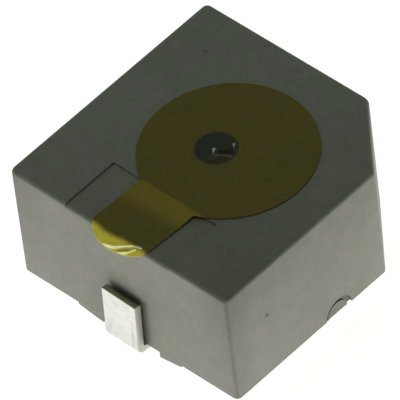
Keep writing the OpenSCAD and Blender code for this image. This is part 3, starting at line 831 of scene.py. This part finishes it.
class BUZZER_OT_case(bpy.types.Operator):
    """Mould the case: rounded, hollow, with its sound hole, recess, feet and gate mark"""

    bl_idname = "buzzer.case"
    bl_label = "Moulded Case"

    def execute(self, context):
        case = in_mm(context.scene.buzzer_case)
        half = CASE_HIGH.x / MM
        high = CASE_HIGH.z / MM
        floor = high - case.recess_d
        ob = box("moulded_case", (-half, -half, case.rim), (half, half, high))

        # the cut corner
        edit(ob, "EDGE", lambda e: upright(e) and middle(e).x > 0 and middle(e).y > 0)
        bpy.ops.mesh.bevel(offset=case.cut, offset_type="OFFSET", segments=1, clamp_overlap=False)
        leave()

        # the hollow, from below
        edit(ob, "FACE", lambda face: face.normal.z < -FACING)
        bpy.ops.mesh.inset(thickness=case.wall, use_even_offset=True)
        rise = high - case.roof - case.rim
        bpy.ops.mesh.extrude_region_move(TRANSFORM_OT_translate={"value": (0, 0, rise)})
        leave()

        # the upright edges, each with its own radius
        cut_at = half - case.cut
        corners = [
            (-half, -half, case.left_r, 90),
            (half, -half, case.front_r, 90),
            (-half, half, case.back_r, 90),
            (half, cut_at, case.cut_right_r, 45),
            (cut_at, half, case.cut_back_r, 45),
        ]
        for x, y, radius, angle in corners:
            setback = radius * math.tan(math.radians(angle / 2))

            def at_corner(e):
                return upright(e) and near(middle(e).x, x) and near(middle(e).y, y)

            round_edges(ob, setback, at_corner, steps=6)

        # the top edges, and the sharper edges round the bottom rim
        def on_rim(e, z):
            flat = near(e.verts[0].co.z, z, 1e-4) and near(e.verts[1].co.z, z, 1e-4)
            return flat and len({round(face.normal.z) for face in e.link_faces}) > 1

        round_edges(ob, case.top_r, lambda e: on_rim(e, high), steps=5)
        round_edges(ob, case.small_r, lambda e: on_rim(e, case.rim), steps=2)

        # the round wall about the chamber, sunk into the top
        ring_r = case.chamber_r + case.chamber_wall
        ceiling = high - case.roof
        ring = drum("ring", ring_r, (0, 0, case.chamber_z), (0, 0, ceiling + 0.3))
        bore = drum("bore", case.chamber_r, (0, 0, case.chamber_z - CLEAR), (0, 0, ceiling))
        combine(ring, [bore], "DIFFERENCE")
        combine(ob, [ring], "UNION")

        # the feet, arched underneath
        feet = []
        for side in (-1, 1):
            for end in (-1, 1):
                inner = end * case.slot_w / 2 - side * case.slot_x
                x0, x1 = sorted((inner, end * case.feet_w / 2))
                y0, y1 = sorted((side * half, side * (half - case.wall)))
                feet.append(box("foot", (x0, y0, 0), (x1, y1, case.rim + SUNK)))
        outside = half + CLEAR
        arch_z = case.foot_clear + math.sqrt(case.arch_r**2 - (case.slot_w / 2) ** 2)
        for foot in feet:
            ends = (0, outside, arch_z), (0, -outside, arch_z)
            arch = drum("arch", case.arch_r, *ends, axis="Y", vertices=720)
            combine(foot, [arch], "INTERSECT")
        combine(ob, feet, "UNION")

        # the sound hole, the recess and the gate mark
        above = high + CLEAR
        hole_at = case.hole_x, case.hole_y
        hole = drum("hole", case.hole_d / 2, (*hole_at, ceiling - CLEAR), (*hole_at, above))
        side_x = case.recess_w / 2
        recess = box("recess", (-side_x, -outside, floor), (side_x, case.recess_l - half, above))
        # its floor runs out over a rounded edge
        edge_y, edge_z = case.top_r - half, floor - case.top_r
        waste = box("waste", (-side_x, -outside, edge_z), (side_x, edge_y, above))
        ends = (half, edge_y, edge_z), (-half, edge_y, edge_z)
        edge = drum("edge", case.top_r, *ends, axis="X", vertices=48)
        combine(waste, [edge], "DIFFERENCE")
        combine(recess, [waste], "UNION")
        gate_x = half - case.gate_d
        ends = (gate_x, case.gate_y, case.rim), (outside, case.gate_y, case.rim)
        gate = drum("gate", case.gate_r, *ends, axis="X")
        combine(ob, [hole, recess, gate], "DIFFERENCE")

        # the broken stub of the gate, with a slanting top, and nothing of it below the rim
        stub_y = case.gate_y - case.stub_y
        ends = (gate_x - SUNK, stub_y, case.rim), (gate_x + case.stub_h, stub_y, case.rim)
        stub = drum("stub", case.stub_r, *ends, axis="X", vertices=32)
        step, shift = 0.12, (-0.03, 0.05, 0.03)
        edit(stub, "FACE", lambda face: face.normal.x > FACING)
        bpy.ops.mesh.inset(thickness=step)
        bpy.ops.transform.translate(value=shift)
        leave()
        under = box("under", (0, -half, case.rim - 2 * CLEAR), (outside, half, case.rim))
        combine(stub, [under], "DIFFERENCE")
        combine(ob, [stub], "UNION")

        modify(ob, "TRIANGULATE", quad_method="BEAUTY", ngon_method="BEAUTY", min_vertices=5)
        smooth(ob, 35)
        finish = case_finish(context.scene.buzzer_finish, case)
        finished(ob, [finish], "housing")
        return {"FINISHED"}


class BUZZER_OT_seal_tape(bpy.types.Operator):
    """Cut the amber film, lay it over the recess and crease its free end"""

    bl_idname = "buzzer.seal_tape"
    bl_label = "Seal Tape"

    def execute(self, context):
        case = in_mm(context.scene.buzzer_case)
        tape = in_mm(context.scene.buzzer_tape)
        half = CASE_HIGH.x / MM
        top = CASE_HIGH.z / MM
        tip_y = TAPE_LOW.y / MM
        fold_y = tip_y + tape.end_l * math.cos(tape.droop)
        round_y = fold_y + tape.round_l

        # the outline: a disc, and a tab with a round end
        below, above = top - CLEAR, top + CLEAR
        disc_at = tape.disc_x, tape.disc_y
        ends = (*disc_at, below), (*disc_at, above)
        outline = drum("outline", tape.disc_d / 2, *ends, vertices=160)
        tab_l = (tape.disc_y - round_y) / math.cos(tape.tab_turn)
        tab = box("tab", (-tape.tab_w / 2, -tab_l, below), (tape.tab_w / 2, 0, above))
        tab.location = (*disc_at, 0)
        tab.rotation_euler = (0, 0, -tape.tab_turn)
        named("tab")
        end_x = tape.disc_x - (tape.disc_y - round_y) * math.tan(tape.tab_turn)
        half_w = tape.tab_w / 2 / math.cos(tape.tab_turn)
        end = drum("end", 1, (0, 0, below), (0, 0, above), vertices=160)
        end.location = (end_x, round_y, 0)
        make_active(end)
        named("end", (half_w, round_y - tip_y, 1))
        combine(tab, [end], "UNION")
        combine(outline, [tab], "UNION")

        # the film: a fine sheet cut to that outline
        deselect_all()
        cell = 0.1
        wide, long = 9, 13
        sheet_y = tape.disc_y + tape.disc_d / 2 + CLEAR / 2 - long / 2
        cells = {"x_subdivisions": int(wide / cell), "y_subdivisions": int(long / cell)}
        bpy.ops.mesh.primitive_grid_add(size=1, location=(tape.disc_x, sheet_y, top), **cells)
        film = named("seal_film", (wide, long, 1))
        modify(film, "SOLIDIFY", thickness=tape.thick, offset=1)
        combine(film, [outline], "INTERSECT")

        # down to the recess floor, then over the edge
        bridge_y = case.recess_l - half
        press(film, -case.recess_d, lambda p: ease(0, tape.bridge_l, bridge_y - p.y))
        reach = fold_y - tip_y
        press(film, -reach * math.tan(tape.droop), lambda p: (fold_y - p.y) / reach)
        for places in CREASES:
            press(film, tape.crease_h, lambda p: 1 - from_line(p, places) / tape.crease_w)

        # it sags a little over the sound hole
        hole = Vector((case.hole_x, case.hole_y))
        press(film, -tape.sag, lambda p: 1 - ((p.xy - hole).length / (case.hole_d / 2)) ** 2)

        smooth(film, 50)
        settings = context.scene.buzzer_finish
        finishes = [film_finish(settings, case, tape), edge_finish(settings)]
        finished(film, finishes, "seal_tape")
        for face in film.data.polygons:
            face.material_index = int(abs(face.normal.z) < 0.5)
        return {"FINISHED"}


class BUZZER_OT_terminals(bpy.types.Operator):
    """Bend the two tinned terminals out of strip"""

    bl_idname = "buzzer.terminals"
    bl_label = "Terminals"

    def execute(self, context):
        strip = in_mm(context.scene.buzzer_terminals)
        low, high = STRIP_LOW / MM, STRIP_HIGH / MM
        outer_bend = low.y + strip.bend_r
        tail_bend = high.y - strip.bend_r
        neck = high.y - strip.thick - strip.neck_l

        def at(vertex, y, z):
            return near(vertex.co.y, y, SAME) and near(vertex.co.z, z, SAME)

        def sharp(e):
            return e.is_manifold and e.calc_face_angle(0) > math.radians(50)

        def extrude(way):
            bpy.ops.mesh.extrude_region_move(TRANSFORM_OT_translate={"value": way})
            leave()

        # the foot's underside, as wide as the tail
        deselect_all()
        bpy.ops.mesh.primitive_plane_add(size=1, location=(0, (outer_bend + tail_bend) / 2, 0))
        front = named("solder_terminal_front", (strip.tail_w, tail_bend - outer_bend, 1))

        def bend_up(y, side, top):
            edit(front, "EDGE", lambda e: all(near(v.co.y, y) and v.co.z < 0.01 for v in e.verts))
            bpy.ops.mesh.spin(
                steps=8, angle=-side * math.pi / 2, center=(0, y, strip.bend_r), axis=(1, 0, 0)
            )
            leave()
            end = y + side * strip.bend_r
            edit(front, "EDGE", lambda e: all(at(v, end, strip.bend_r) for v in e.verts))
            extrude((0, 0, top - strip.bend_r))

        # the tail up into the case
        bend_up(tail_bend, 1, strip.tail_top)

        # full width from the neck outward
        edit_all(front)
        bpy.ops.mesh.bisect(plane_co=(0, neck, 0), plane_no=(0, 1, 0))
        leave()
        for side in (-1, 1):
            tail_x = side * strip.tail_w / 2
            edit(front, "EDGE", lambda e: near(middle(e).x, tail_x, SAME) and middle(e).y < neck)
            extrude((side * high.x - tail_x, 0, 0))

        # the leg up outside the case
        bend_up(outer_bend, -1, high.z)

        edit_all(front)
        bpy.ops.mesh.remove_doubles(threshold=SAME)
        bpy.ops.mesh.normals_make_consistent(inside=False)
        leave()
        foot = [face for face in front.data.polygons if near(face.center.z, 0)]
        upwards = 1 if any(face.normal.z > FACING for face in foot) else -1
        modify(front, "SOLIDIFY", thickness=strip.thick, offset=upwards, use_even_offset=True)

        # the sheared end slopes down to the inside
        edit(front, "VERT", lambda v: at(v, low.y + strip.thick, high.z))
        bpy.ops.transform.translate(value=(0, 0, -strip.shear))
        leave()
        round_edges(front, strip.edge_r, sharp, steps=2)
        edit_all(front)
        bpy.ops.mesh.normals_make_consistent(inside=False)
        leave()
        smooth(front, 35)

        # the other one, turned half round
        back = front.copy()
        back.data = front.data.copy()
        back.name = back.data.name = "solder_terminal_back"
        context.scene.collection.objects.link(back)
        edit_all(back)
        bpy.ops.transform.rotate(value=math.pi, orient_axis="Z", center_override=(0, 0, 0))
        leave()

        # the front one was bent a little out of square, and its left corner pulled up
        def leg(p):
            return p.z / high.z if p.y < neck else 0

        press(front, strip.lean, leg, "X")
        press(front, strip.tip, lambda p: (0.5 - 0.5 * p.x / high.x) * leg(p) ** 3)

        finish = tin_finish(context.scene.buzzer_finish, strip)
        finished(front, [finish], "terminal_front")
        finished(back, [finish], "terminal_back")
        return {"FINISHED"}


class BUZZER_OT_inner(bpy.types.Operator):
    """Give the pieces inside the case their finishes"""

    bl_idname = "buzzer.inner"
    bl_label = "Inner Pieces"

    def execute(self, context):
        settings = context.scene.buzzer_finish
        iron = plain_finish("plated_iron", (0.42, 0.42, 0.43), 0.35, 1.0)
        solder = plain_finish("solder", (0.68, 0.69, 0.7), 0.3, 1.0)
        nylon = plain_finish("natural_nylon", (0.68, 0.64, 0.54), 0.5)
        copper = plain_finish("enamelled_copper", (0.6, 0.22, 0.09), 0.3, 1.0)
        chip = plain_finish("chip_moulding", (0.012, 0.012, 0.013), 0.5)
        tinned = plain_finish("tinned_lead", (0.8, 0.8, 0.79), 0.35, 1.0)
        finishes = {
            "base_plate": plain_finish("plate_plastic", settings.plate, 0.6),
            "epoxy_seal": plain_finish("sealing_resin", settings.resin, 0.35, grain_size=0.4),
            "circuit_board": plain_finish("board_laminate", (0.02, 0.1, 0.045), 0.4),
            "terminal_solder": solder,
            "lead_solder": solder,
            "yoke_plate": iron,
            "pole_core": iron,
            "ring_magnet": plain_finish("bonded_magnet", (0.035, 0.035, 0.04), 0.55),
            "coil_bobbin": nylon,
            "coil_winding": copper,
            "coil_leads": copper,
            "support_ring": nylon,
            "diaphragm": plain_finish("spring_steel", (0.6, 0.6, 0.62), 0.25, 1.0),
            "armature_disc": iron,
            "transistor_body": chip,
            "transistor_leads": tinned,
            "diode_body": chip,
            "diode_leads": tinned,
            "base_resistor": plain_finish("resistor_ceramic", (0.05, 0.06, 0.09), 0.4),
        }
        for node, finish in finishes.items():
            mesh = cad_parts[node].data
            mesh.materials.clear()
            mesh.materials.append(finish)
        return {"FINISHED"}


class BUZZER_OT_stage(bpy.types.Operator):
    """Set the pale table, the soft light and the camera"""

    bl_idname = "buzzer.stage"
    bl_label = "Stage"

    def execute(self, context):
        stage = context.scene.buzzer_stage
        scene = context.scene
        scene.view_settings.view_transform = "Standard"

        # the table
        deselect_all()
        bpy.ops.mesh.primitive_plane_add(size=2.0)
        table = bpy.context.object
        table.name = table.data.name = "table"
        f = Finish.material("table_white")
        seen = f.seen()
        reach = f.vector("LENGTH", {0: f.place()[0]})
        lit = stage.table * (0.35 + 0.65 * reach.fall(25, 90))
        shown = 0.8
        strength = lit + seen * (shown - lit)
        glow = f.node("ShaderNodeEmission", None, {"Color": (1, 1, 0.98), "Strength": strength})
        matte = f.node("ShaderNodeBsdfDiffuse", None, {"Color": (0.8, 0.8, 0.8)})
        both = f.node("ShaderNodeAddShader", None, {0: glow.outputs[0], 1: matte.outputs[0]})
        f.node("ShaderNodeOutputMaterial", None, {"Surface": both.outputs[0]})
        table.data.materials.append(f.owner)

        # light from all round, dim above
        world = bpy.data.worlds.new("studio")
        scene.world = world
        f = Finish(world)
        direction = f.node("ShaderNodeTexCoord").outputs["Generated"]
        height = Value(f, f.node("ShaderNodeSeparateXYZ", None, {0: direction}).outputs["Z"])
        seen = f.seen()
        lit = stage.sky + (stage.horizon - stage.sky) * height.fall(0.0, 0.5)
        shown = stage.sky + (1 - stage.sky) * height.fall(0.06, 0.24)
        level = lit + seen * (shown - lit)
        background = f.node("ShaderNodeBackground", None, {"Color": (1, 1, 1), "Strength": level})
        f.node("ShaderNodeOutputWorld", None, {"Surface": background.outputs[0]})

        # soft lamps, aimed at the part: place and size in metres, power in watts
        lamps = [
            ("lamp_high", (-0.25, 0.15, 0.75), 0.07, 0.4),
            ("lamp_front", (-0.31, -0.33, 0.66), 0.08, 0.5),
        ]
        for name, place, size, power in lamps:
            data = bpy.data.lights.new(name, "AREA")
            data.shape = "DISK"
            data.size = size
            data.energy = power
            turned = Vector(place).to_track_quat("Z", "Y")
            put(name, data, place, turned).visible_camera = False

        # the camera
        data = bpy.data.cameras.new("camera")
        data.lens = stage.lens
        data.sensor_width = 36.0
        data.clip_start, data.clip_end = 0.01, 3.0
        out = math.cos(stage.elevation)
        side, front = math.sin(stage.azimuth) * out, math.cos(stage.azimuth) * out
        back = Vector((side, -front, math.sin(stage.elevation)))
        level_view = (-back).to_track_quat("-Z", "Y")
        rolled = Matrix.Rotation(-stage.roll, 4, "Z").to_quaternion()
        place = Vector(stage.aim) + back * stage.distance
        scene.camera = put("camera", data, place, level_view @ rolled)
        return {"FINISHED"}


class BUZZER_PT_panel(bpy.types.Panel):
    """Lists the operators"""

    bl_idname = "BUZZER_PT_panel"
    bl_label = "Magnetic Buzzer"
    bl_space_type = "VIEW_3D"
    bl_region_type = "UI"
    bl_category = "Buzzer"

    def draw(self, context):
        for operator in OPERATORS:
            self.layout.operator(operator.bl_idname)


SETTINGS = {
    "buzzer_case": CaseSettings,
    "buzzer_tape": TapeSettings,
    "buzzer_terminals": TerminalSettings,
    "buzzer_finish": FinishSettings,
    "buzzer_stage": StageSettings,
}
OPERATORS = [
    BUZZER_OT_case,
    BUZZER_OT_seal_tape,
    BUZZER_OT_terminals,
    BUZZER_OT_inner,
    BUZZER_OT_stage,
]


def register():
    for cls in [*SETTINGS.values(), *OPERATORS, BUZZER_PT_panel]:
        bpy.utils.register_class(cls)
    for name, cls in SETTINGS.items():
        setattr(bpy.types.Scene, name, PointerProperty(type=cls))


def unregister():
    for name in SETTINGS:
        delattr(bpy.types.Scene, name)
    for cls in reversed([*SETTINGS.values(), *OPERATORS, BUZZER_PT_panel]):
        bpy.utils.unregister_class(cls)


def main():
    register()
    bpy.ops.buzzer.case()
    bpy.ops.buzzer.seal_tape()
    bpy.ops.buzzer.terminals()
    bpy.ops.buzzer.inner()
    bpy.ops.buzzer.stage()


if __name__ == "__main__":
    main()
